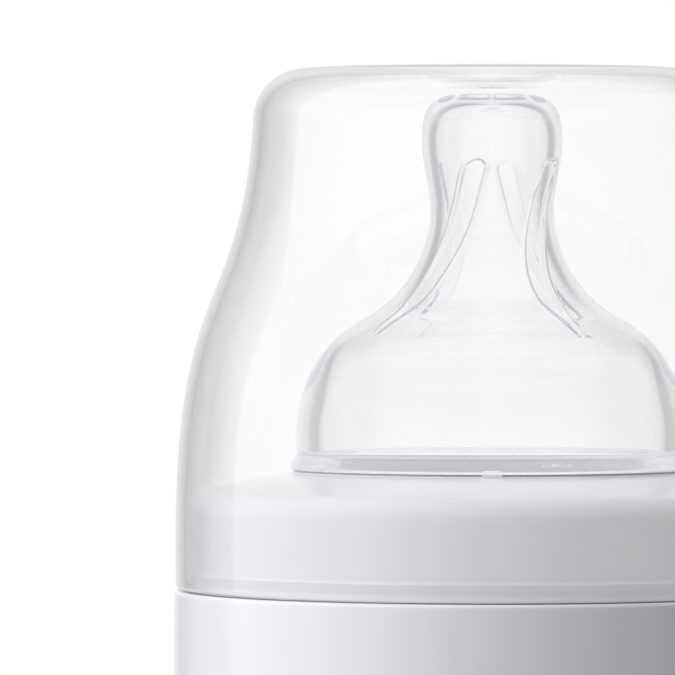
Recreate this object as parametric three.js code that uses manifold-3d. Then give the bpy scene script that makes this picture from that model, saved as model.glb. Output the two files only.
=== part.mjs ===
// A wide-neck baby bottle in four pieces: a blown bottle, a silicone teat, a screw ring that
// clamps the teat's flange onto the bottle's rim, and a clear domed cap over the teat.
// Millimetres, +Z up. The origin is the centre of the base, where the bottle stands.
import * as THREE from 'three';
import { mergeVertices } from 'three/addons/utils/BufferGeometryUtils.js';
import Module from 'manifold-3d';

const wasm = await Module();
wasm.setup();

// ---------------------------------------------------------------- driving dimensions
const segments = 40;               // flats round every turned piece
const threadSegments = 28;         // steps in each turn of a thread
const gap = 0.3;                   // clearance between pieces that touch
const ledgeZ = 120.6;              // the ring's ledge, where the cap's rim comes to rest

// cap
const capHeight = 55.7;            // ledge to the cap's top
const capRimRadius = 33.85;
const capTopRadius = 25.58;        // where the side meets the top's round corner
const capCorner = 5.57;
const capCornerLean = 3.3;         // degrees the side still leans inwards at that corner
const capWall = 1.0;
const gateRadius = 2.4;            // moulding gate left under the middle of the top
const gateDepth = 0.38;

// teat
const tipHeight = 53.6;            // above the ledge
const tipFlat = 4.2;
const bulbRadius = 7.53;
const stemRadius = 6.65;
const teatBaseRadius = 20.96;
const tipWall = 1.4;
const stemWall = 1.25;
const baseWall = 2.3;
const feedHole = 0.35;
const beadRadius = 21.6;           // bead that keeps the teat from slipping down through the ring
const flangeRadius = 29.6;
const flangeThickness = 2.1;

// stiffening ribs inside the teat
const ribCount = 4;
const ribWidth = 2.1;
const ribDepth = 0.5;
const ribFoot = 26.8;              // heights above the ledge
const ribFullWidth = 29.9;
const ribTop = 45.9;
const ribLowAzimuth = -53.0;       // degrees from the front, towards +X
const ribTurnStart = 30.5;
const ribTurnBlend = 6.0;
const ribTurnRate = 3.1;           // degrees per millimetre

// screw ring
const holeRadius = 21.3;
const lipHeight = 12.55;           // above the ledge, at the hole's edge
const lipSlope = 0.201;            // fall per unit of radius
const lipThickness = 2.1;
const ringNeckRadius = 32.35;
const ringCorner = 2.6;
const ringCornerZ = 8.2;
const snapRadius = 32.6;           // low bead that the cap's rim grips
const skirtRadius = 34.0;
const skirtFootRadius = 34.1;
const skirtDepth = 15.0;
const edgeRound = 0.4;
const ringBoreRadius = 30.4;
const skirtBoreRadius = 31.8;

// screw thread, one right-hand start
const threadPitch = 4.5;
const boreTurns = 1.0;
const neckTurns = 1.25;
const neckThreadTop = -3.0;        // above the ledge
const neckCrest = 31.4;
const boreCrest = 29.9;
const threadOffset = 1.95;         // the ring's thread rides this far under the bottle's
const threadFade = 0.12;           // part of a thread's length over which each end runs out

// bottle
const rimHeight = 6.1;             // above the ledge
const neckRadius = 29.4;
const neckBore = 27.3;
const shoulderZ = 105.2;
const shoulderRadius = 33.3;
const shoulderStart = 97.5;
const waistRadius = 29.8;
const waistZ = 58.0;
const footRadius = 33.0;
const footCorner = 5.5;
const bodyWall = 1.6;
const footInner = 24.5;
const baseRise = 2.3;
const floorZ = 4.1;

// ---------------------------------------------------------------- outline helpers
function point(radius, z) {
  return new THREE.Vector2(radius, z);
}

function curve(start, leave, arrive, end, steps) {
  return new THREE.CubicBezierCurve(start, leave, arrive, end).getPoints(steps);
}

function arc(centre, radius, fromDegrees, toDegrees, steps) {
  const points = [];
  for (let step = 0; step <= steps; step += 1) {
    const degrees = THREE.MathUtils.lerp(fromDegrees, toDegrees, step / steps);
    const angle = THREE.MathUtils.degToRad(degrees);
    points.push(point(centre.x + radius * Math.cos(angle), centre.y + radius * Math.sin(angle)));
  }
  return points;
}

// The inner side of a wall: each point of the outer side, moved square to it by the thickness there.
function innerSide(outer, thicknessAt) {
  return outer.map((here, index) => {
    const before = outer[Math.max(index - 1, 0)];
    const after = outer[Math.min(index + 1, outer.length - 1)];
    const along = after.clone().sub(before).normalize();
    const square = point(-along.y, along.x);
    return here.clone().addScaledVector(square, thicknessAt(here.y));
  });
}

function joined(...runs) {
  const points = [];
  for (const next of runs.flat()) {
    const last = points[points.length - 1];
    if (!last || last.distanceTo(next) > 1e-6) {
      points.push(next);
    }
  }
  return points;
}

// Radius of an outline at a height, read along its straight steps.
function radiusAt(outline, z) {
  for (let index = 1; index < outline.length; index += 1) {
    const a = outline[index - 1];
    const b = outline[index];
    if ((z - a.y) * (z - b.y) <= 0 && a.y !== b.y) {
      return THREE.MathUtils.mapLinear(z, a.y, b.y, a.x, b.x);
    }
  }
  throw new Error(`the outline does not reach height ${z}`);
}

// ---------------------------------------------------------------- solid helpers
function shared(geometry) {
  geometry.deleteAttribute('normal');
  geometry.deleteAttribute('uv');
  return mergeVertices(geometry, 1e-4);
}

function turned(outline) {
  const geometry = new THREE.LatheGeometry(outline, segments);
  geometry.rotateX(Math.PI / 2);
  return shared(geometry);
}

function solidOf(geometry) {
  const vertProperties = new Float32Array(geometry.attributes.position.array);
  const triVerts = new Uint32Array(geometry.index.array);
  return new wasm.Manifold(new wasm.Mesh({ numProp: 3, vertProperties, triVerts }));
}

function geometryOf(solid) {
  const mesh = solid.getMesh();
  const geometry = new THREE.BufferGeometry();
  geometry.setAttribute('position', new THREE.BufferAttribute(mesh.vertProperties, 3));
  geometry.setIndex(new THREE.BufferAttribute(mesh.triVerts, 1));
  return geometry;
}

// A box whose length, depth and width are carried along a path by place(), which is given the
// part of the length from 0 to 1, the depth from 0 to 1 and the width from -1 to 1.
function bentBar(lengthSteps, widthSteps, place) {
  const geometry = shared(new THREE.BoxGeometry(1, 1, 2, lengthSteps, 1, widthSteps));
  const position = geometry.attributes.position;
  for (let index = 0; index < position.count; index += 1) {
    const along = position.getX(index) + 0.5;
    const depth = position.getY(index) + 0.5;
    const across = position.getZ(index);
    position.setXYZ(index, ...place(along, depth, across));
  }
  return solidOf(geometry);
}

// A single-start helical thread on a wall. It stands from the wall's radius to the crest's,
// is wider at its root, and runs out at both ends.
function thread(wall, crest, startZ, turns, rootWidth, crestWidth) {
  const outward = Math.sign(crest - wall);
  const buried = wall - outward * gap;
  return bentBar(Math.round(turns * threadSegments), 1, (along, depth, across) => {
    const fade = Math.min(1, along / threadFade, (1 - along) / threadFade);
    const height = THREE.MathUtils.lerp(0.15, 1, fade);
    const radius = depth < 0.5 ? buried : THREE.MathUtils.lerp(wall, crest, height);
    const halfWidth = (depth < 0.5 ? rootWidth : THREE.MathUtils.lerp(rootWidth, crestWidth, height)) / 2;
    const angle = 2 * Math.PI * turns * along;
    const z = startZ + threadPitch * turns * along - outward * across * halfWidth;
    return [radius * Math.cos(angle), radius * Math.sin(angle), ledgeZ + z];
  });
}

function piece(name, geometry, colour, roughness, extra = {}) {
  const material = new THREE.MeshStandardMaterial({ color: colour, roughness, metalness: 0, ...extra });
  const mesh = new THREE.Mesh(geometry, material);
  mesh.name = name;
  return mesh;
}

function lifted(outline) {
  return outline.map((here) => point(here.x, here.y + ledgeZ));
}

// ---------------------------------------------------------------- bottle
function bottleBody() {
  const neckFoot = shoulderZ - ledgeZ;
  const side = joined(
    curve(point(footRadius, footCorner), point(footRadius, 24), point(waistRadius, 36),
      point(waistRadius, waistZ), 4),
    curve(point(waistRadius, waistZ), point(waistRadius, 78), point(shoulderRadius, 84),
      point(shoulderRadius, shoulderStart), 4),
    curve(point(shoulderRadius, shoulderStart), point(shoulderRadius, 102.5), point(31.6, 104.7),
      point(neckRadius, shoulderZ), 3),
  );
  const corner = point(footRadius - footCorner, footCorner);
  const outside = joined(
    curve(point(0, baseRise), point(17, baseRise), point(21, 0.3), point(footInner, 0), 3),
    arc(corner, footCorner, -90, 0, 4),
    side,
    lifted([point(neckRadius, neckFoot + 0.8), point(neckRadius, rimHeight - gap), point(neckRadius - gap, rimHeight)]),
  );
  const inside = joined(
    curve(point(0, floorZ), point(18, floorZ), point(22, bodyWall), point(corner.x, bodyWall), 3),
    arc(corner, footCorner - bodyWall, -90, 0, 3),
    innerSide(side, () => bodyWall).slice(1),
    lifted([point(neckBore, neckFoot + 1.2), point(neckBore, rimHeight - gap), point(neckBore + gap, rimHeight)]),
  );
  const shell = solidOf(turned([...outside, ...inside.reverse()]));
  const neckThreadStart = neckThreadTop - neckTurns * threadPitch;
  return geometryOf(shell.add(thread(neckRadius, neckCrest, neckThreadStart, neckTurns, 2.4, 1.2)));
}

// ---------------------------------------------------------------- screw ring
function lipTop(radius) {
  return lipHeight - lipSlope * (radius - holeRadius);
}

function screwRing() {
  const corner = point(ringNeckRadius - ringCorner, ringCornerZ);
  const coneNormal = 90 - THREE.MathUtils.radToDeg(Math.atan(lipSlope));
  const outline = lifted(joined(
    [point(holeRadius, lipHeight - gap), point(holeRadius + gap, lipTop(holeRadius + gap))],
    arc(corner, ringCorner, coneNormal, 0, 4),
    [point(ringNeckRadius, 1.75), point(snapRadius, 1.45), point(snapRadius, 0.6), point(ringNeckRadius, gap)],
    [point(ringNeckRadius, 0)],
    arc(point(skirtRadius - edgeRound, -edgeRound), edgeRound, 90, 0, 2),
    arc(point(skirtFootRadius - edgeRound, edgeRound - skirtDepth), edgeRound, 0, -90, 2),
    [point(skirtBoreRadius, -skirtDepth), point(skirtBoreRadius, -1.6), point(ringBoreRadius, -0.2)],
    [point(ringBoreRadius, lipTop(ringBoreRadius) - lipThickness - gap)],
    [point(ringBoreRadius - gap, lipTop(ringBoreRadius) - lipThickness)],
    [point(holeRadius, lipHeight - lipThickness), point(holeRadius, lipHeight - gap)],
  ));
  const shell = solidOf(turned(outline.reverse()));
  const start = neckThreadTop - neckTurns * threadPitch - threadOffset;
  return geometryOf(shell.add(thread(skirtBoreRadius, boreCrest, start, boreTurns, 1.9, 0.9)));
}

// ---------------------------------------------------------------- teat
function teatWall(height) {
  const thickening = 1 - THREE.MathUtils.smoothstep(height, 20.5, 27.5);
  const bulbing = THREE.MathUtils.smoothstep(height, 42, 47);
  return stemWall + (baseWall - stemWall) * thickening + (tipWall - stemWall) * bulbing;
}

function ribAzimuth(height) {
  const rise = Math.max(height - ribTurnStart, 0);
  const turning = rise < ribTurnBlend ? rise * rise / (2 * ribTurnBlend) : rise - ribTurnBlend / 2;
  return ribLowAzimuth + ribTurnRate * turning;
}

// One rib on the inner side of the wall: it stands in the stem's narrow bore, turns as it goes
// down, and tapers to a point on the dome.
function rib(inner, azimuthOffset) {
  return bentBar(10, 2, (along, depth, across) => {
    const height = THREE.MathUtils.lerp(ribFoot, ribTop, along);
    const taper = Math.min(1, (height - ribFoot) / (ribFullWidth - ribFoot));
    const roundEnd = Math.sqrt(Math.min(1, (ribTop - height) / (ribWidth / 2)));
    const width = ribWidth * Math.max(taper * roundEnd, 0.08);
    const wallRadius = radiusAt(inner, height);
    const crown = across === 0 ? ribDepth : ribDepth * 0.75;
    const radius = depth < 0.5 ? wallRadius - crown * Math.max(roundEnd, 0.3) : wallRadius + gap;
    const turn = THREE.MathUtils.degToRad(ribAzimuth(height) + azimuthOffset);
    const angle = turn + across * width / 2 / wallRadius;
    return [radius * Math.sin(angle), -radius * Math.cos(angle), ledgeZ + height];
  });
}

function teat() {
  const bulbHeight = 47.84;
  const stemHeight = 41.17;
  const neckHeight = 40.08;
  const domeTurn = point(13.49, 29.0);
  const domeFoot = point(teatBaseRadius, 16.08);
  const side = joined(
    curve(domeFoot, point(teatBaseRadius, 23.71), point(16.6, 27.41), domeTurn, 7),
    curve(domeTurn, point(8.9, 31.36), point(stemRadius, 36.1), point(stemRadius, neckHeight), 6),
    curve(point(stemRadius, stemHeight), point(stemRadius, 42.57), point(bulbRadius, 45.9),
      point(bulbRadius, bulbHeight), 3),
  );
  const tip = curve(point(bulbRadius, bulbHeight), point(bulbRadius, 51.2), point(6.6, tipHeight - 0.1),
    point(tipFlat, tipHeight), 4);
  const innerTip = tipHeight - tipWall;
  const inner = innerSide(side, teatWall);
  const innerEnd = inner[inner.length - 1];
  const innerCap = curve(innerEnd, point(innerEnd.x, 50.2), point(5.2, innerTip), point(3.3, innerTip), 2);

  const flangeTop = (radius) => lipTop(radius) - lipThickness - gap;
  const flangeFoot = rimHeight + gap;
  const outside = joined(
    [point(flangeRadius - edgeRound, flangeFoot), point(flangeRadius, flangeFoot + edgeRound)],
    [point(flangeRadius, flangeTop(flangeRadius) - edgeRound)],
    [point(flangeRadius - edgeRound, flangeTop(flangeRadius - edgeRound))],
    [point(holeRadius - gap, flangeTop(holeRadius - gap)), point(holeRadius - gap, lipHeight + gap - 0.05)],
    [point(beadRadius, lipHeight + gap), point(beadRadius - 0.08, 13.1), point(21.1, 13.7), point(20.9, 14.5)],
    side,
    tip,
    [point(feedHole, tipHeight)],
  );
  const liner = joined(
    [point(feedHole, innerTip)],
    innerCap.reverse(),
    inner.reverse(),
    [point(18.62, 15.0), point(18.35, 14.5), point(18.35, 9.2)],
    [point(19.0, flangeTop(19.0) - flangeThickness), point(neckBore - gap, flangeFoot)],
  );
  let solid = solidOf(turned(lifted([...outside, ...liner, outside[0]])));
  for (let index = 0; index < ribCount; index += 1) {
    solid = solid.add(rib(liner, index * 360 / ribCount));
  }
  const tab = shared(new THREE.BoxGeometry(1.7, 1.0, 0.5));
  tab.translate(0, -(beadRadius - 0.15), ledgeZ + 12.95);
  return geometryOf(solid.add(solidOf(tab)));
}

// ---------------------------------------------------------------- cap
function domeCap() {
  const corner = point(capTopRadius - capCorner * Math.cos(THREE.MathUtils.degToRad(capCornerLean)),
    capHeight - capCorner);
  const side = curve(point(capRimRadius, gap + edgeRound), point(34.58, 34.7), point(26.89, 27.9),
    point(capTopRadius, corner.y + capCorner * Math.sin(THREE.MathUtils.degToRad(capCornerLean))), 8);
  const outside = joined(
    arc(point(capRimRadius - edgeRound, gap + edgeRound), edgeRound, -90, 0, 2),
    side,
    arc(corner, capCorner, capCornerLean, 90, 5),
    [point(0, capHeight)],
  );
  const underside = capHeight - capWall;
  const inside = joined(
    [point(0, underside - gateDepth), point(gateRadius - 0.2, underside - gateDepth), point(gateRadius, underside)],
    arc(corner, capCorner - capWall, 90, capCornerLean, 4),
    innerSide(side, () => capWall).reverse(),
    [point(capRimRadius - capWall + 0.1, gap)],
  );
  return turned(lifted([...outside, ...inside, outside[0]]));
}

// ---------------------------------------------------------------- assembly
const babyBottle = new THREE.Group();
babyBottle.add(piece('bottle_body', bottleBody(), 0xe9eef0, 0.25, { transparent: true, opacity: 0.45 }));
babyBottle.add(piece('teat', teat(), 0xf0eff4, 0.3, { transparent: true, opacity: 0.6 }));
babyBottle.add(piece('screw_ring', screwRing(), 0xf1f1f4, 0.4));
babyBottle.add(piece('dome_cap', domeCap(), 0xf3f6f8, 0.12, { transparent: true, opacity: 0.3 }));

export default babyBottle;
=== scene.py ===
import math
from collections import namedtuple

import bpy
import numpy as np
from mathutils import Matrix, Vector


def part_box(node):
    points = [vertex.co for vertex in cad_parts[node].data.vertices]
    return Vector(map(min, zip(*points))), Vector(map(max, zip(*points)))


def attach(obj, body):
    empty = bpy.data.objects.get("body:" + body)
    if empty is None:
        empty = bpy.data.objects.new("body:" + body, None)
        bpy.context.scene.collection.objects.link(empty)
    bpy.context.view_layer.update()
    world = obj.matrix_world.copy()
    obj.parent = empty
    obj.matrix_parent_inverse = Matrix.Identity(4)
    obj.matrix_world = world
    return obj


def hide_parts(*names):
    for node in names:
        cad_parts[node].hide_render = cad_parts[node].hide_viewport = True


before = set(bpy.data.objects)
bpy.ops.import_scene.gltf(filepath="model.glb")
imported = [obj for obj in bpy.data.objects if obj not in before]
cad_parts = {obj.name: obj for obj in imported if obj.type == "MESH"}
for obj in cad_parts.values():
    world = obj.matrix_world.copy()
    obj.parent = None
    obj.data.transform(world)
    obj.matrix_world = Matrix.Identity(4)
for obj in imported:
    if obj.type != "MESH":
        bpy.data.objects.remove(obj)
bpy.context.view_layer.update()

MM = 0.001                      # metres in a millimetre

# ------------------------------------------------------------------ driving dimensions
# screw ring
SKIRT_DEPTH = 15.0
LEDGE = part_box("screw_ring")[0].z / MM + SKIRT_DEPTH    # above the base, where the cap's rim stands
SKIRT = 34.0
SKIRT_SIDE = (34.02, -2.0)      # a point on the skirt's side, which slopes very slightly
SKIRT_FOOT = 34.1
SKIRT_BORE = 31.8
SKIRT_STEP = 0.14               # how far the skirt's top lies below the ledge
LEDGE_EDGE = 33.1
SNAP_BEAD = 32.55               # low bead that the cap's rim slips over
SNAP_GROOVE = 32.1
RING_NECK = 32.35
RING_BORE = 30.4
RING_CORNER = 2.6               # rounding from the neck to the lip
RING_CORNER_HEIGHT = 8.2
LIP_HOLE = 21.3
LIP_HEIGHT = 12.55              # at the hole
LIP_FALL = 0.201                # for each unit of radius
LIP_THICKNESS = 2.1
SEAT_HEIGHT = 12.84             # thin edge round the hole, under the teat's bead

# screw thread, one right-hand start
PITCH = 4.5
NECK_TURNS = 1.25
RING_TURNS = 1.0
THREAD_TOP = -3.0
THREAD_START = THREAD_TOP - NECK_TURNS * PITCH
THREAD_OFFSET = 1.95            # the ring's thread rides this far under the bottle's
THREAD_FADE = 0.14              # turns over which each end runs out

# teat
CLEARANCE = 0.05                # between the flange and the lip's underside
TEAT_BASE = 20.96               # foot of the dome
TEAT_BASE_HEIGHT = 16.08
DOME_TURN = (13.49, 29.0)       # where the dome's outside starts to turn up into the stem
STEM = 6.65
BULB = 7.53
BULB_HEIGHT = 47.84             # where the bulb is widest
TIP = 53.6
TIP_FLAT = 4.2
INNER_FLAT = 3.3
FEED_HOLE = 0.35
HOLE_EDGE = 0.12                # rounding of the feed hole's edges
BASE_WALL = 2.3
STEM_WALL = 1.25
TIP_WALL = 1.4
TEAT_BORE = 18.3
FLANGE = 29.6
FLANGE_SEAM = (27.0, 6.15)      # where the outline starts and ends, on the flange's underside

# stiffening ribs inside the teat
RIBS = 4
RIB_WIDTH = 2.1
RIB_DEPTH = 0.45
RIB_EDGE = 0.32                 # width of a rib's rounded flank
CREASE_DEPTH = 0.13             # fine groove along each side of a rib
CREASE_WIDTH = 0.14
RIB_FOOT = 26.6
RIB_FULL = 30.4                 # height from which a rib has its full width
RIB_TOP = 45.9
RIB_LOW = -53.0                 # degrees from the front to the first rib's foot
RIB_START = 30.5                # height at which the ribs start to turn
RIB_BLEND = 6.0                 # height over which they reach their full rate
RIB_RATE = 3.1                  # degrees for each millimetre of height

# vent tab on the teat's bead
TAB_WIDTH = 2.1
TAB_LOW = 12.42
TAB_HIGH = 13.2
TAB_OUT = 22.05                 # from the axis to the tab's front
TAB_DEPTH = 1.0
TAB_CORNER = 0.22
TAB_BEVEL = 0.16

# cap
CAP_HEIGHT = 55.7
CAP_WALL = 1.0
CAP_RIM = 33.85
CAP_GAP = 0.02                  # between the rim and the ledge
CAP_TOP = 25.58                 # where the side meets the top's round corner
CAP_CORNER = 5.57
CAP_LEAN = 3.3                  # degrees by which the side still leans inwards there
GATE_DEPTH = 0.16               # low moulding mark under the middle of the top
GATE_RADIUS = 6.0

# bottle: the rim's height is above the ledge, and the others are above the base
RIM_HEIGHT = 6.1
NECK = 29.4
NECK_BORE = 27.3
BODY_WALL = 1.6
SHOULDER_TOP = 105.2            # foot of the neck
SHOULDER = 33.3
SHOULDER_START = 97.5
WAIST = 29.8
WAIST_HEIGHT = 58.0
FOOT = 33.0
FOOT_CORNER = 5.5
FOOT_INNER = 24.5               # inside of the ring that the bottle stands on
BASE_RISE = 2.3
INNER_BASE = 4.1                # top of the floor in the middle

# printed scale
INK = 0.05                      # thickness of the print
PRINT_GAP = 0.01                # between the bottle's side and the print
SCALE_TURN = 16.0               # degrees from the front to the start of the ticks
LONG_TICK = 7.0
SHORT_TICK = 3.6
TICK_HEIGHT = 0.4
FIGURE_HEIGHT = 3.6
FIGURE_SHARE = 0.72             # a figure's height as a share of the font's size
FIGURE_GAP = 1.2                # from a number to its tick
VOLUMES = range(30, 251, 10)    # millilitres
NUMBERED = 50                   # each such volume has a long tick and a number

# fineness of the meshes
FINE = 288                      # divisions round the teat
ROUND = 256                     # divisions round the other pieces
ARC_STEP = 0.12                 # longest step round a small rounded corner
FEWEST_STEPS = 3                # round such a corner
MOST_STEPS = 12
STRAIGHT = math.radians(89)     # a corner with a wider half angle than this isn't rounded
MERGE = 1e-4                    # outline points as near as this are one
ON_AXIS = 1e-6


# ------------------------------------------------------------------ outlines
def curve(start, leave, arrive, end, steps):
    """Points of a cubic curve."""
    t = np.linspace(0, 1, steps + 1)[:, None]
    a, b, c, d = (np.array(p, float) for p in (start, leave, arrive, end))
    return ((1 - t) ** 3 * a + 3 * (1 - t) ** 2 * t * b + 3 * (1 - t) * t**2 * c + t**3 * d).tolist()


def arc(centre, radius, start, end, steps):
    """Points of an arc, from one angle to another in degrees above the outward direction."""
    turn = np.radians(np.linspace(start, end, steps + 1))
    return np.c_[centre[0] + radius * np.cos(turn), centre[1] + radius * np.sin(turn)].tolist()


def spaced(points, spacing):
    """The same run with long steps split, so that shading stays even."""
    out = [points[0]]
    for a, b in zip(points, points[1:]):
        pieces = max(1, math.ceil(math.dist(a, b) / spacing))
        out += [[a[0] + (b[0] - a[0]) * k / pieces, a[1] + (b[1] - a[1]) * k / pieces]
                for k in range(1, pieces + 1)]
    return out


def unit(vector):
    return vector / np.linalg.norm(vector)


def rounded_corner(before, here, after):
    """Points of the arc that rounds a corner (radius, height, rounding), or the corner if it's sharp."""
    corner, size = np.array(here[:2], float), here[2]
    back = unit(np.array(before[:2], float) - corner)
    on = unit(np.array(after[:2], float) - corner)
    half = math.acos(max(-1.0, min(1.0, float(back @ on)))) / 2
    if size <= 0 or half > STRAIGHT:
        return [corner.tolist()]
    middle = corner + unit(back + on) * size / math.sin(half)
    reach = size / math.tan(half)
    first = corner + back * reach - middle
    last = corner + on * reach - middle
    sweep = math.pi - 2 * half
    side = math.copysign(1, first[0] * last[1] - first[1] * last[0])
    steps = max(FEWEST_STEPS, min(MOST_STEPS, math.ceil(size * sweep / ARC_STEP)))
    points = []
    for step in range(steps + 1):
        turn = side * sweep * step / steps
        c, s = math.cos(turn), math.sin(turn)
        points.append((middle + [c * first[0] - s * first[1], s * first[0] + c * first[1]]).tolist())
    return points


def rounded(corners, spacing):
    """A run through corners (radius, height, rounding): the first and last stay where they are."""
    points = [corners[0][:2]]
    for before, here, after in zip(corners, corners[1:], corners[2:]):
        points += rounded_corner(before, here, after)
    return spaced(points + [corners[-1][:2]], spacing)


def inner_side(outer, thickness_at):
    """The inner side of a wall: each point moved square to it by the thickness there."""
    p = np.array(outer)
    along = np.gradient(p, axis=0)
    along /= np.linalg.norm(along, axis=1)[:, None]
    square = np.c_[-along[:, 1], along[:, 0]]
    thickness = np.array([thickness_at(z) for z in p[:, 1]])[:, None]
    return (p + square * thickness).tolist()


def smoothstep(x, low, high):
    """0 up to low, 1 from high on, and a smooth passage between them."""
    t = np.clip((x - low) / (high - low), 0, 1)
    return t * t * (3 - 2 * t)


# ------------------------------------------------------------------ meshes
# A stretch of an outline. relief(radius, height, angle) is added to its radius, with the angle in
# radians, and follow(height) turns its columns by so many degrees, so that they run along a twisted
# relief.
Run = namedtuple("Run", "points relief follow", defaults=(None, None))
Row = namedtuple("Row", "radius height relief turned twisted")


def outline_rows(runs):
    """All the outline's points, each with its relief and how far its columns are turned in radians."""
    rows = []
    for run in runs:
        for radius, height in run.points:
            if rows and math.dist(rows[-1][:2], (radius, height)) <= MERGE:
                continue
            turned = math.radians(run.follow(height)) if run.follow else 0.0
            rows.append(Row(radius, height, run.relief, turned, bool(run.follow)))
    if math.dist(rows[-1][:2], rows[0][:2]) <= MERGE:
        rows.pop()
    return rows


def lathe(name, runs, divisions):
    """A closed piece of revolution. Its outline closes on itself, or starts and ends on the axis."""
    rows = outline_rows(runs)
    step = 2 * math.pi / divisions
    verts, index = [], []
    for row in rows:
        z = (LEDGE + row.height) * MM
        if row.radius <= ON_AXIS:
            index.append([len(verts)] * divisions)
            verts.append((0, 0, z))
            continue
        angle = row.turned + step * np.arange(divisions)
        r = np.full(divisions, float(row.radius))
        if row.relief:
            r = r + row.relief(row.radius, row.height, angle)
        index.append(list(range(len(verts), len(verts) + divisions)))
        verts += [(x, y, z) for x, y in zip(r * np.sin(angle) * MM, -r * np.cos(angle) * MM)]
    faces = []
    starts_on_axis = rows[0].radius <= ON_AXIS
    for here in range(len(rows) - 1 if starts_on_axis else len(rows)):
        after = (here + 1) % len(rows)
        shift = 0
        if rows[here].twisted != rows[after].twisted:
            shift = round((rows[here].turned - rows[after].turned) / step)
        low, high = index[here], np.roll(index[after], -shift).tolist()
        for j in range(divisions):
            n = (j + 1) % divisions
            corner = [low[j], low[n], high[n], high[j]]
            faces.append([v for i, v in enumerate(corner) if v != corner[i - 1]])
    return mesh_piece(name, verts, faces)


def mesh_piece(name, verts, faces):
    """A smooth-shaded object of the given points, in metres."""
    mesh = bpy.data.meshes.new(name)
    mesh.from_pydata(verts, [], faces)
    mesh.validate()
    mesh.shade_smooth()
    piece = bpy.data.objects.new(name, mesh)
    bpy.context.scene.collection.objects.link(piece)
    return piece


# ------------------------------------------------------------------ teat
def rib_azimuth(height):
    """Degrees from the front: the ribs run straight up the dome, then turn as they climb the stem."""
    rise = max(height - RIB_START, 0)
    turning = rise * rise / (2 * RIB_BLEND) if rise < RIB_BLEND else rise - RIB_BLEND / 2
    return RIB_LOW + RIB_RATE * turning


def rib_half_width(height):
    """A rib is pointed at its foot and round at its top."""
    half = RIB_WIDTH / 2
    above = height - (RIB_TOP - half)
    if above > 0:
        return math.sqrt(max(half * half - above * above, 0.0))
    return half * min(1.0, max(0.0, (height - RIB_FOOT) / (RIB_FULL - RIB_FOOT)))


def rib_relief(radius, height, angle):
    """How far the ribs stand into the bore, with a fine crease along each side."""
    if not RIB_FOOT - 1 < height < RIB_TOP + 1:
        return np.zeros_like(angle)
    near = 0.1
    slope = math.radians(rib_azimuth(height + near) - rib_azimuth(height - near)) / (2 * near) * radius
    middle = math.radians(rib_azimuth(height))
    step = 2 * math.pi / RIBS
    away = (angle - middle + step / 2) % step - step / 2
    inside = rib_half_width(height) - np.abs(away) * radius / math.hypot(1, slope)
    # A rib rises out of the wall within a millimetre at its foot, and sinks back into it at its top.
    starting = smoothstep(height, RIB_FOOT - 0.2, RIB_FOOT + 0.8)
    ending = 1 - smoothstep(height, RIB_TOP, RIB_TOP + 0.3)
    rib = RIB_DEPTH * smoothstep(inside, -RIB_EDGE / 2, RIB_EDGE / 2)
    crease = CREASE_DEPTH * np.exp(-((inside + RIB_EDGE * 0.75) / CREASE_WIDTH) ** 2)
    return starting * ending * (crease - rib)


def teat_wall(height):
    """The wall is thickest at the dome's foot, thinnest in the stem and thicker again in the bulb."""
    base = (BASE_WALL - STEM_WALL) * (1 - smoothstep(height, 20.5, 27.5))
    bulb = (TIP_WALL - STEM_WALL) * smoothstep(height, 42, 47)
    return STEM_WALL + base + bulb


def lip_top(radius):
    """Height of the ring's conical lip."""
    return LIP_HEIGHT - LIP_FALL * (radius - LIP_HOLE)


def teat_side(dome_steps, neck_steps, bulb_steps):
    """The outside from the foot of the dome up to the widest place of the bulb."""
    foot = (TEAT_BASE, TEAT_BASE_HEIGHT)
    dome = curve(foot, (TEAT_BASE, 23.71), (16.6, 27.41), DOME_TURN, dome_steps)
    neck = curve(DOME_TURN, (8.9, 31.36), (STEM, 36.1), (STEM, 40.08), neck_steps)
    bulb = curve((STEM, 41.17), (STEM, 42.57), (BULB, 45.9), (BULB, BULB_HEIGHT), bulb_steps)
    return dome + neck[1:] + bulb


def make_teat():
    inner_tip = TIP - TIP_WALL
    under_lip = LIP_THICKNESS + CLEARANCE
    side = teat_side(dome_steps=22, neck_steps=18, bulb_steps=14)
    inner = inner_side(teat_side(dome_steps=32, neck_steps=56, bulb_steps=52), teat_wall)
    inner_bulb = inner[-1][0]
    tip = curve((BULB, BULB_HEIGHT), (BULB, 51.2), (6.6, TIP - 0.1), (TIP_FLAT, TIP), steps=14)
    top = curve(inner[-1], (inner_bulb, 50.2), (5.2, inner_tip), (INNER_FLAT, inner_tip), steps=10)
    hole = rounded([
        (TIP_FLAT, TIP, 0), (FEED_HOLE, TIP, HOLE_EDGE), (FEED_HOLE, inner_tip, HOLE_EDGE),
        (INNER_FLAT, inner_tip, 0)], spacing=0.5)
    # From the flange's underside, round its rim, through the lip's hole and over the bead to the dome.
    flange = rounded([
        (*FLANGE_SEAM, 0), (FLANGE, FLANGE_SEAM[1], 0.35), (FLANGE, lip_top(FLANGE) - under_lip, 0.35),
        (21.22, lip_top(21.22) - under_lip, 0.3), (21.15, 12.9, 0.1), (21.72, 12.87, 0.18),
        (21.5, 13.45, 0.8), (20.92, 14.4, 0.8), (TEAT_BASE, TEAT_BASE_HEIGHT, 0)], spacing=0.6)
    # From the dome's inner side down the bore to the flange's underside.
    bore = rounded([
        (*inner[0], 0), (18.6, 14.6, 4), (TEAT_BORE, 12.0, 4), (TEAT_BORE, 9.2, 0.5),
        (19.1, 7.7, 0.6), (*FLANGE_SEAM, 0)], spacing=0.6)
    runs = [Run(flange), Run(side), Run(tip), Run(hole), Run(top[::-1]),
            Run(inner[::-1], rib_relief, rib_azimuth), Run(bore)]
    return lathe("teat_skin", runs, FINE)


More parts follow.
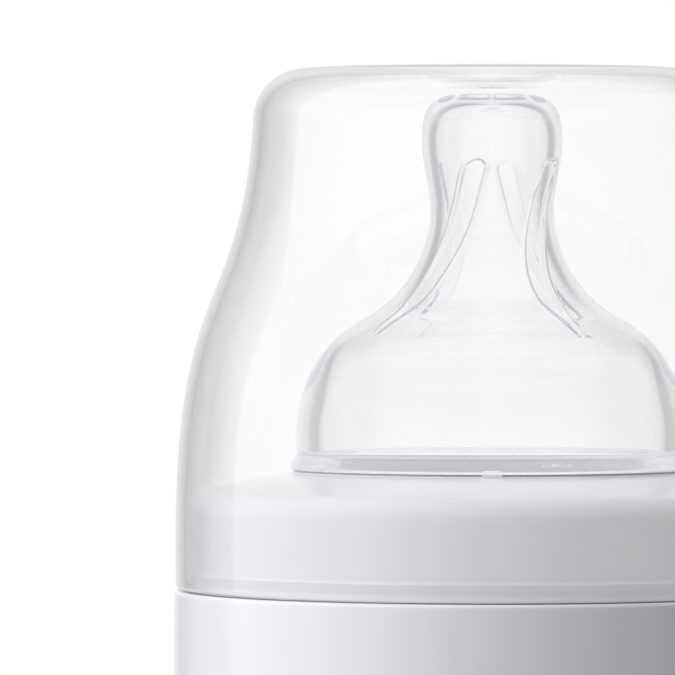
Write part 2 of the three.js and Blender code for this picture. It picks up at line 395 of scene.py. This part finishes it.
def make_vent_tab():
    """A small rounded tab that hangs from the bead over the ring's lip, as layers from back to front."""
    bevel_middle = 0.05
    layers = [(TAB_OUT - TAB_DEPTH, 0.0), (TAB_OUT - TAB_BEVEL, 0.0),
              (TAB_OUT - bevel_middle, bevel_middle), (TAB_OUT, TAB_BEVEL)]
    middle = (TAB_LOW + TAB_HIGH) / 2
    half_width = TAB_WIDTH / 2 - TAB_CORNER
    half_height = (TAB_HIGH - TAB_LOW) / 2 - TAB_CORNER
    corner_steps = 4
    around = 4 * (corner_steps + 1)
    verts, faces = [], []
    for out, inset in layers:
        for corner in range(4):
            x = half_width if corner in (0, 3) else -half_width
            z = middle + (half_height if corner < 2 else -half_height)
            for step in range(corner_steps + 1):
                turn = math.pi / 2 * (corner + step / corner_steps)
                reach = TAB_CORNER - inset
                verts.append(((x + reach * math.cos(turn)) * MM, -out * MM,
                              (LEDGE + z + reach * math.sin(turn)) * MM))
    for layer in range(len(layers) - 1):
        low, high = layer * around, (layer + 1) * around
        for k in range(around):
            n = (k + 1) % around
            faces.append([low + k, low + n, high + n, high + k])
    faces.append(list(range(around - 1, -1, -1)))
    faces.append(list(range(len(verts) - around, len(verts))))
    return mesh_piece("vent_tab", verts, faces)


# ------------------------------------------------------------------ cap
def make_cap():
    lean = math.radians(CAP_LEAN)
    middle = (CAP_TOP - CAP_CORNER * math.cos(lean), CAP_HEIGHT - CAP_CORNER)
    side_end = (CAP_TOP, middle[1] + CAP_CORNER * math.sin(lean))
    side = curve((CAP_RIM, 0.6), (34.58, 34.7), (26.89, 27.9), side_end, steps=110)
    inner = inner_side(side, lambda height: CAP_WALL)
    corner = arc(middle, CAP_CORNER, CAP_LEAN, 90, steps=24)
    inner_corner = arc(middle, CAP_CORNER - CAP_WALL, 90, CAP_LEAN, steps=24)
    rim = rounded([(*inner[0], 0), (CAP_RIM - CAP_WALL, CAP_GAP, 0.2), (CAP_RIM, CAP_GAP, 0.5),
                   (*side[0], 0)], spacing=0.15)
    top = spaced([(middle[0], CAP_HEIGHT), (0, CAP_HEIGHT)], spacing=0.8)
    under = CAP_HEIGHT - CAP_WALL
    gate_foot = under - GATE_DEPTH
    gate = curve((0, gate_foot), (2.2, gate_foot), (2.8, under), (GATE_RADIUS, under), steps=24)
    ceiling = spaced([(GATE_RADIUS, under), (middle[0], under)], spacing=0.8)
    outline = [gate, ceiling, inner_corner, inner[::-1], rim, side, corner, top]
    return lathe("cap_shell", [Run(points) for points in outline], ROUND)


# ------------------------------------------------------------------ ring
def thread_relief(start, turns, height_out, root, crest):
    """A single-start thread on a wall, from height start on the right. It stands height_out from the
    wall, is root wide there and crest wide at its top, and runs out at both ends."""
    def relief(radius, height, angle):
        total = np.zeros_like(angle)
        from_right = (angle - math.pi / 2) % (2 * math.pi)
        for turn in range(math.ceil(turns) + 1):
            along = (from_right + 2 * math.pi * turn) / (2 * math.pi)
            inside = root / 2 - np.abs(height - (start + PITCH * along))
            flank = np.clip(inside / ((root - crest) / 2), 0, 1)
            starting = smoothstep(along, 0, THREAD_FADE)
            ending = 1 - smoothstep(along, turns - THREAD_FADE, turns)
            total = np.maximum(total, flank * (starting * ending))
        return height_out * total
    return relief


def make_ring():
    lip_direction = 90 - math.degrees(math.atan(LIP_FALL))
    middle = (RING_NECK - RING_CORNER, RING_CORNER_HEIGHT)
    shoulder = arc(middle, RING_CORNER, lip_direction, 0, steps=20)
    # The outline starts and ends on the hole's wall. The seat of the teat's bead comes first, then a
    # fine groove round it and the lip's cone.
    hole_wall = (LIP_HOLE, 11.0)
    lip = rounded([(*hole_wall, 0), (LIP_HOLE, SEAT_HEIGHT, 0.03), (21.6, SEAT_HEIGHT, 0.04),
                   (21.35, 12.76, 0), (21.35, 12.58, 0), (21.66, lip_top(21.66), 0.02),
                   (*shoulder[0], 0)], spacing=0.5)
    # The neck, the snap bead, the groove under it, the ledge and the top of the skirt.
    neck = rounded([(*shoulder[-1], 0), (RING_NECK, 2.05, 0.3), (SNAP_BEAD, 1.8, 0.12),
                    (SNAP_GROOVE, 0.7, 0.2), (SNAP_GROOVE, 0.0, 0.15), (LEDGE_EDGE, 0.0, 0.03),
                    (LEDGE_EDGE, -SKIRT_STEP, 0.03), (SKIRT, -SKIRT_STEP, 0.45), (*SKIRT_SIDE, 0)],
                   spacing=0.3)
    bore_foot = (SKIRT_BORE, -13.5)
    bore_top = (SKIRT_BORE, -1.9)
    skirt = rounded([(*SKIRT_SIDE, 0), (SKIRT_FOOT, -SKIRT_DEPTH, 0.5), (SKIRT_BORE, -SKIRT_DEPTH, 0.4),
                     (*bore_foot, 0)], spacing=0.5)
    bore = spaced([bore_foot, bore_top], spacing=0.2)
    inside = rounded([(*bore_top, 0), (SKIRT_BORE, -1.6, 0.3), (RING_BORE, -0.2, 0.3),
                      (RING_BORE, lip_top(RING_BORE) - LIP_THICKNESS, 0.4),
                      (LIP_HOLE, lip_top(LIP_HOLE) - LIP_THICKNESS, 0.2), (*hole_wall, 0)],
                     spacing=0.4)
    thread = thread_relief(THREAD_START - THREAD_OFFSET, RING_TURNS, height_out=-1.9, root=1.9, crest=0.9)
    runs = [Run(inside[::-1]), Run(bore[::-1], thread), Run(skirt[::-1]), Run(neck[::-1]),
            Run(shoulder[::-1]), Run(lip[::-1])]
    return lathe("ring_shell", runs, ROUND)


# ------------------------------------------------------------------ bottle
def bottle_side():
    """The outside of the body from the foot's corner to the neck, in heights above the base."""
    waist = (WAIST, WAIST_HEIGHT)
    shoulder = (SHOULDER, SHOULDER_START)
    lower = curve((FOOT, FOOT_CORNER), (FOOT, 24), (WAIST, 36), waist, steps=42)
    upper = curve(waist, (WAIST, 78), (SHOULDER, 84), shoulder, steps=32)
    top = curve(shoulder, (SHOULDER, 102.5), (31.6, 104.7), (NECK, SHOULDER_TOP), steps=14)
    return lower + upper[1:] + top[1:]


def bottle_inner_side():
    return inner_side(bottle_side(), lambda height: BODY_WALL)


def above_ledge(points):
    """The same points with their heights above the ledge instead of above the base."""
    return [[radius, height - LEDGE] for radius, height in points]


def make_bottle():
    corner = (FOOT - FOOT_CORNER, FOOT_CORNER)
    base = curve((0, BASE_RISE), (17, BASE_RISE), (21, 0.3), (FOOT_INNER, 0), steps=18)
    standing = spaced([(FOOT_INNER, 0), (corner[0], 0)], spacing=0.6)
    foot = arc(corner, FOOT_CORNER, -90, 0, steps=16)
    inner_base = curve(
        (0, INNER_BASE), (18, INNER_BASE), (22, BODY_WALL), (corner[0], BODY_WALL), steps=20)
    inner_foot = arc(corner, FOOT_CORNER - BODY_WALL, -90, 0, steps=12)
    inner = above_ledge(bottle_inner_side())
    neck_foot = SHOULDER_TOP - LEDGE
    threaded_from, threaded_to = (NECK, -11.0), (NECK, -1.5)
    neck = spaced([(NECK, neck_foot), threaded_from], spacing=0.3)
    threaded = spaced([threaded_from, threaded_to], spacing=0.24)
    mouth = rounded([(*threaded_to, 0), (NECK, RIM_HEIGHT, 0.4), (NECK_BORE, RIM_HEIGHT, 0.4),
                     (NECK_BORE, neck_foot + 1.2, 0.8), (*inner[-1], 0)], spacing=0.5)
    thread = thread_relief(THREAD_START, NECK_TURNS, height_out=2.0, root=2.4, crest=1.2)
    body = [Run(above_ledge(points)) for points in (base, standing, foot, bottle_side())]
    inside = [Run(inner[::-1])] + [Run(above_ledge(points[::-1])) for points in (inner_foot, inner_base)]
    runs = body + [Run(neck), Run(threaded, thread), Run(mouth)] + inside
    return lathe("bottle_shell", runs, ROUND)


# ------------------------------------------------------------------ printed scale
def filling_heights(volumes):
    """The liquid's height above the base for each volume in millilitres, added up in fine layers. The
    lowest layers are a little narrower, because the floor's edge is round."""
    inner = np.array(bottle_inner_side())
    highest, layers, floor_share = 104.0, 2000, 0.96
    heights = np.linspace(INNER_BASE, highest, layers)
    reach = np.interp(heights, inner[:, 1], inner[:, 0])
    reach = np.where(heights < FOOT_CORNER, reach[0] * floor_share, reach)
    millilitres = np.cumsum(math.pi * reach**2 * (heights[1] - heights[0])) / 1000
    return np.interp(volumes, millilitres, heights)


def printed(flat, height):
    """Flat points (across, up, thickness) in millimetres wrapped onto the bottle's side."""
    side = np.array(bottle_side())
    out = []
    for across, up, thick in flat:
        z = height + up
        radius = np.interp(z, side[:, 1], side[:, 0])
        turn = math.radians(SCALE_TURN) + across / radius
        r = radius + PRINT_GAP + thick
        out.append((r * math.sin(turn) * MM, -r * math.cos(turn) * MM, z * MM))
    return out


def tick(length):
    """A printed line as a closed strip, in short steps so that it follows the side."""
    steps = 8
    half = TICK_HEIGHT / 2
    flat, faces = [], []
    for k in range(steps + 1):
        x = length * k / steps
        flat += [(x, -half, 0), (x, half, 0), (x, half, INK), (x, -half, INK)]
        if k:
            a, b = 4 * k - 4, 4 * k
            faces += [[a + j, a + (j + 1) % 4, b + (j + 1) % 4, b + j] for j in range(4)]
    return flat, faces + [[3, 2, 1, 0], [4 * steps + j for j in range(4)]]


def figure(text):
    """A number in the plain built-in font, ending a little before its tick."""
    data = bpy.data.curves.new("figure", "FONT")
    data.body = text
    data.size = FIGURE_HEIGHT / FIGURE_SHARE
    data.extrude = INK / 2
    data.resolution_u = 3
    piece = bpy.data.objects.new("figure", data)
    bpy.context.scene.collection.objects.link(piece)
    bpy.context.view_layer.update()
    mesh = piece.evaluated_get(bpy.context.evaluated_depsgraph_get()).to_mesh()
    points = np.array([tuple(v.co) for v in mesh.vertices])
    faces = [list(f.vertices) for f in mesh.polygons]
    points[:, 0] += -FIGURE_GAP - points[:, 0].max()
    points[:, 1] -= (points[:, 1].max() + points[:, 1].min()) / 2
    points[:, 2] += INK / 2
    bpy.data.objects.remove(piece)
    bpy.data.curves.remove(data)
    return points.tolist(), faces


def make_scale():
    verts, faces = [], []
    for volume, height in zip(VOLUMES, filling_heights(VOLUMES)):
        numbered = volume % NUMBERED == 0
        prints = [tick(LONG_TICK if numbered else SHORT_TICK)]
        if numbered:
            prints.append(figure(str(volume)))
        for flat, shapes in prints:
            faces += [[v + len(verts) for v in shape] for shape in shapes]
            verts += printed(flat, height)
    piece = mesh_piece("bottle_scale", verts, faces)
    piece.data.shade_flat()
    return piece


# ------------------------------------------------------------------ shader nodes
def feed(tree, sockets, values):
    """Gives each socket its value: a number is set on it, and an output is linked to it."""
    for socket, value in zip(sockets, values):
        if isinstance(value, (int, float)):
            socket.default_value = value
        else:
            tree.links.new(value, socket)


def math_node(tree, operation, *values):
    made = tree.nodes.new("ShaderNodeMath")
    made.operation = operation
    feed(tree, made.inputs, values)
    return made.outputs[0]


def mix_numbers(tree, factor, a, b):
    """a where the factor is 0, and b where it is 1."""
    made = tree.nodes.new("ShaderNodeMix")
    made.data_type = "FLOAT"
    feed(tree, (made.inputs["Factor"], made.inputs["A"], made.inputs["B"]), (factor, a, b))
    return made.outputs["Result"]


def passage(tree, value, start, end, low, high, kind="SMOOTHSTEP"):
    """low up to start, high from end on, and a passage of the given kind between them."""
    made = tree.nodes.new("ShaderNodeMapRange")
    made.interpolation_type = kind
    sockets = [made.inputs[name] for name in ("Value", "From Min", "From Max", "To Min", "To Max")]
    feed(tree, sockets, (value, start, end, low, high))
    return made.outputs["Result"]


def mix_shaders(tree, factor, a, b):
    """Sends to the surface shader a where the factor is 0, and shader b where it is 1."""
    mix = tree.nodes.new("ShaderNodeMixShader")
    feed(tree, mix.inputs, (factor, a.outputs[0], b.outputs[0]))
    tree.links.new(mix.outputs[0], tree.nodes["Material Output"].inputs["Surface"])


def place_outputs(tree, kind="Object"):
    """The outputs X, Y and Z of a point's place or, in the world, of a ray's direction."""
    place = tree.nodes.new("ShaderNodeTexCoord")
    split = tree.nodes.new("ShaderNodeSeparateXYZ")
    tree.links.new(place.outputs[kind], split.inputs[0])
    return split.outputs["X"], split.outputs["Y"], split.outputs["Z"]


def distance_off_axis(tree, x, y):
    """How far a point is from the bottle's axis, in metres."""
    flat = tree.nodes.new("ShaderNodeCombineXYZ")
    feed(tree, flat.inputs, (x, y))
    away = tree.nodes.new("ShaderNodeVectorMath")
    away.operation = "LENGTH"
    tree.links.new(flat.outputs[0], away.inputs[0])
    return away.outputs["Value"]


# ------------------------------------------------------------------ materials
def material(name, colour, roughness, **sockets):
    """A principled material. An underscore in the name of a socket stands for a space."""
    made = bpy.data.materials.new(name)
    made.use_nodes = True
    shader = made.node_tree.nodes["Principled BSDF"]
    shader.inputs["Base Color"].default_value = (*colour, 1)
    shader.inputs["Roughness"].default_value = roughness
    for socket, value in sockets.items():
        shader.inputs[socket.replace("_", " ")].default_value = value
    return made


def surface_grain(made, scale, distance, rough_low, rough_high):
    """Fine moulded texture: noise in the bump, at a distance in metres, and in the roughness."""
    tree = made.node_tree
    shader = tree.nodes["Principled BSDF"]
    place = tree.nodes.new("ShaderNodeTexCoord")
    grain = tree.nodes.new("ShaderNodeTexNoise")
    grain.inputs["Scale"].default_value = scale
    grain.inputs["Detail"].default_value = 3.0
    bump = tree.nodes.new("ShaderNodeBump")
    bump.inputs["Distance"].default_value = distance
    bump.inputs["Strength"].default_value = 1.0
    rough = passage(
        tree, grain.outputs["Fac"], start=0.0, end=1.0, low=rough_low, high=rough_high, kind="LINEAR")
    tree.links.new(place.outputs["Object"], grain.inputs["Vector"])
    tree.links.new(grain.outputs["Fac"], bump.inputs["Height"])
    tree.links.new(bump.outputs["Normal"], shader.inputs["Normal"])
    tree.links.new(rough, shader.inputs["Roughness"])


def hazy(made, density, colour):
    """A faint milkiness that grows with depth: it hides what lies behind, and glows in its place."""
    tree = made.node_tree
    hiding = tree.nodes.new("ShaderNodeVolumeAbsorption")
    hiding.inputs["Color"].default_value = (0, 0, 0, 1)
    hiding.inputs["Density"].default_value = density
    glowing = tree.nodes.new("ShaderNodeEmission")
    glowing.inputs["Color"].default_value = (*colour, 1)
    glowing.inputs["Strength"].default_value = density
    both = tree.nodes.new("ShaderNodeAddShader")
    feed(tree, both.inputs, (hiding.outputs[0], glowing.outputs[0]))
    tree.links.new(both.outputs[0], tree.nodes["Material Output"].inputs["Volume"])


def clear_plastic(name, ior, rough, haze, colour, passed=1.0):
    """Clear moulded plastic or silicone, faintly hazy. It bends what is seen through it, but light on its
    way to other pieces goes straight through, and each surface lets the share passed of it through."""
    made = material(name, colour=(1.0, 1.0, 1.0), roughness=rough, IOR=ior, Transmission_Weight=1.0)
    hazy(made, haze, colour)
    tree = made.node_tree
    path = tree.nodes.new("ShaderNodeLightPath")
    lighting = math_node(tree, "MAXIMUM", path.outputs["Is Shadow Ray"], path.outputs["Is Diffuse Ray"])
    open_pane = tree.nodes.new("ShaderNodeBsdfTransparent")
    open_pane.inputs["Color"].default_value = (passed, passed, passed, 1)
    mix_shaders(tree, lighting, tree.nodes["Principled BSDF"], open_pane)
    return made


def shaded_joints(made, crevices, shade):
    """Painted shade: the base colour is darkened in crevices beside touching pieces, which hardly any
    light reaches. Each crevice is a pair of heights above the base and a pair of radii."""
    tree = made.node_tree
    x, y, z = place_outputs(tree)
    away = distance_off_axis(tree, x, y)
    shaded = 0.0
    for (low, high), (inner, outer) in crevices:
        level = math_node(tree, "COMPARE", z, (low + high) / 2 * MM, (high - low) / 2 * MM)
        band = math_node(tree, "COMPARE", away, (inner + outer) / 2 * MM, (outer - inner) / 2 * MM)
        both = math_node(tree, "MULTIPLY", level, band)
        shaded = math_node(tree, "MAXIMUM", both, shaded)
    base = tree.nodes["Principled BSDF"].inputs["Base Color"]
    mix = tree.nodes.new("ShaderNodeMix")
    mix.data_type = "RGBA"
    mix.inputs["A"].default_value = base.default_value
    mix.inputs["B"].default_value = (*shade, 1)
    tree.links.new(shaded, mix.inputs["Factor"])
    tree.links.new(mix.outputs["Result"], base)


def white_plastic():
    made = material("white_polypropylene", colour=(0.868, 0.85, 0.895), roughness=0.38, IOR=1.5)
    surface_grain(made, scale=4500, distance=0.0000025, rough_low=0.09, rough_high=0.17)
    # Painted shade: the crevice under the cap's rim and the groove under the teat's bead get a darker
    # base colour.
    under_cap = ((LEDGE - 0.15, LEDGE - 0.03), (33.0, 34.2))
    under_teat = ((LEDGE + 12.6, LEDGE + 12.8), (21.2, 21.63))
    shaded_joints(made, [under_cap, under_teat], (0.2, 0.2, 0.22))
    return made


def grey_ink():
    made = material("grey_ink", colour=(0.24, 0.26, 0.30), roughness=0.5)
    surface_grain(made, scale=3000, distance=0.000003, rough_low=0.42, rough_high=0.58)
    return made


# ------------------------------------------------------------------ studio
# The camera's place and what it points at: X, Y and the height above the ledge.
EYE = (0.0, -797.0, 37.1)
AIM = (-16.55, 0.0, 26.87)
SENSOR = 36                     # width
LENS = 396.8                    # focal length

RAMP_TOP = 3.0                  # the brightest level that a ramp can hold

# Levels of light by direction, as (degrees, level): what lights white plastic, what shows through clear
# walls, which is the same on both sides, and what shows mirrored in them.
THROWN = [(-180, 0.25), (-122, 0.1), (-102, 0.9), (-88, 2.35), (-68, 2.85), (-45, 1.75), (-25, 0.82),
          (-5, 0.2), (10, 0.0), (70, 0.04), (95, 0.65), (160, 0.45)]
THROUGH_RIGHT = [(118, 0.8), (132, 0.22), (146, 0.3), (155, 0.75), (162, 0.85), (168, 0.9), (173, 0.88),
                 (176, 1.0), (180, 1.04)]
THROUGH = [(-degrees, level) for degrees, level in reversed(THROUGH_RIGHT)] + THROUGH_RIGHT
MIRRORED = [(-180, 0.95), (-163, 0.7), (-151, 0.15), (-120, 0.1), (-109, 0.2), (-107, 1.1), (-40, 1.0),
            (-15, 0.5), (60, 0.4), (110, 0.2), (151, 0.15), (163, 0.7), (180, 0.95)]

# The floor, in metres.
FLOOR_RADIUS = 1.7
FLOOR_SIDES = 96
FLOOR_GAP = 0.0005              # between it and the bottle's base
FADE_START = 0.25               # from the axis: the floor fades out from here
FADE_END = 1.2
FLOOR_GLOW = 0.63               # strength


def make_camera():
    data = bpy.data.cameras.new("camera")
    data.sensor_width = SENSOR
    data.lens = LENS
    data.clip_start = 0.01
    data.clip_end = 50
    camera = bpy.data.objects.new("camera", data)
    bpy.context.scene.collection.objects.link(camera)
    above_base = np.array([0.0, 0.0, LEDGE])
    camera.location = (np.array(EYE) + above_base) * MM
    looking = Vector(np.array(AIM) - np.array(EYE))
    camera.rotation_euler = looking.to_track_quat("-Z", "Y").to_euler()
    bpy.context.scene.camera = camera


def ramp(tree, share, stops):
    """A level for each direction round the bottle. share is 0 at -180 degrees and 1 at 180."""
    made = tree.nodes.new("ShaderNodeValToRGB")
    elements = made.color_ramp.elements
    for _ in range(len(stops) - 2):
        elements.new(0.5)
    for element, (degrees, level) in zip(elements, stops):
        element.position = (degrees + 180) / 360
        element.color = (level / RAMP_TOP, level / RAMP_TOP, level / RAMP_TOP, 1)
    tree.links.new(share, made.inputs[0])
    return math_node(tree, "MULTIPLY", made.outputs["Color"], RAMP_TOP)


def make_world():
    """A photographer's light tent: a white wall behind the bottle, and a large soft box on the left.
    What the soft box throws on white plastic, what shows through clear walls and what shows mirrored in
    them are set apart from one another, and the camera itself sees plain white all round."""
    world = bpy.data.worlds.new("studio")
    # Only bounced rays meet this light, because its level goes by their kind.
    world.cycles.sampling_method = "NONE"
    world.use_nodes = True
    bpy.context.scene.world = world
    tree = world.node_tree
    x, y, z = place_outputs(tree, "Generated")
    around = math_node(tree, "ARCTAN2", x, math_node(tree, "MULTIPLY", y, -1))
    share = math_node(tree, "MULTIPLY_ADD", around, 0.5 / math.pi, 0.5)
    overhead = passage(tree, z, start=0.75, end=0.9, low=0.0, high=0.9)
    thrown = math_node(tree, "ADD", ramp(tree, share, THROWN), overhead)
    steep = passage(tree, math_node(tree, "ABSOLUTE", z), start=0.2, end=0.5, low=1.0, high=0.85)
    path = tree.nodes.new("ShaderNodeLightPath")
    mirrored = ramp(tree, share, MIRRORED)
    clear = mix_numbers(tree, path.outputs["Is Transmission Ray"], mirrored, ramp(tree, share, THROUGH))
    clear = math_node(tree, "MULTIPLY", clear, steep)
    lit = mix_numbers(tree, path.outputs["Is Diffuse Ray"], clear, thrown)
    seen = mix_numbers(tree, path.outputs["Is Camera Ray"], lit, 1.0)
    background = tree.nodes["Background"]
    background.inputs["Color"].default_value = (1, 1, 1, 1)
    tree.links.new(seen, background.inputs["Strength"])


def make_floor():
    """Pale paper that fades into the white all round. It glows too, except as a light on other pieces, so
    that clear walls show it nearly as bright as the wall behind."""
    turns = np.linspace(0, 2 * math.pi, FLOOR_SIDES, endpoint=False)
    edge = [(FLOOR_RADIUS * math.cos(turn), FLOOR_RADIUS * math.sin(turn), -FLOOR_GAP) for turn in turns]
    floor = mesh_piece("floor", edge, [list(range(FLOOR_SIDES))])
    paper = material("floor_paper", colour=(0.42, 0.42, 0.43), roughness=0.8)
    tree = paper.node_tree
    shader = tree.nodes["Principled BSDF"]
    path = tree.nodes.new("ShaderNodeLightPath")
    glow = math_node(tree, "MULTIPLY_ADD", path.outputs["Is Diffuse Ray"], -FLOOR_GLOW, FLOOR_GLOW)
    shader.inputs["Emission Color"].default_value = (1, 1, 1, 1)
    tree.links.new(glow, shader.inputs["Emission Strength"])
    x, y, _ = place_outputs(tree)
    fade = passage(tree, distance_off_axis(tree, x, y), FADE_START, FADE_END, low=0.0, high=1.0)
    mix_shaders(tree, fade, shader, tree.nodes.new("ShaderNodeBsdfTransparent"))
    floor.data.materials.append(paper)


# ------------------------------------------------------------------ pieces
def dress(piece, body, node, made):
    """A piece's material, the body it rides on, the CAD node it stands for, if any."""
    piece.data.materials.append(made)
    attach(piece, body)
    if node:
        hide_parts(node)


bpy.context.scene.view_settings.view_transform = "Standard"
make_camera()
make_world()
make_floor()

bottle_plastic = clear_plastic(
    "clear_bottle_plastic", ior=1.49, rough=0.02, haze=60, colour=(0.5, 0.52, 0.55))
silicone = clear_plastic("clear_silicone", ior=1.41, rough=0.0, haze=47, colour=(0.965, 0.945, 1.03))
tab_silicone = clear_plastic("tab_silicone", ior=1.41, rough=0.0, haze=900, colour=(0.93, 0.93, 0.94))
cap_plastic = clear_plastic(
    "clear_cap_plastic", ior=1.49, rough=0.0, haze=125, colour=(0.91, 0.91, 0.915), passed=0.945)

dress(make_bottle(), "bottle", "bottle_body", bottle_plastic)
dress(make_scale(), "bottle", None, grey_ink())
dress(make_teat(), "teat", "teat", silicone)
dress(make_vent_tab(), "teat", None, tab_silicone)
dress(make_ring(), "ring", "screw_ring", white_plastic())
dress(make_cap(), "cap", "dome_cap", cap_plastic)
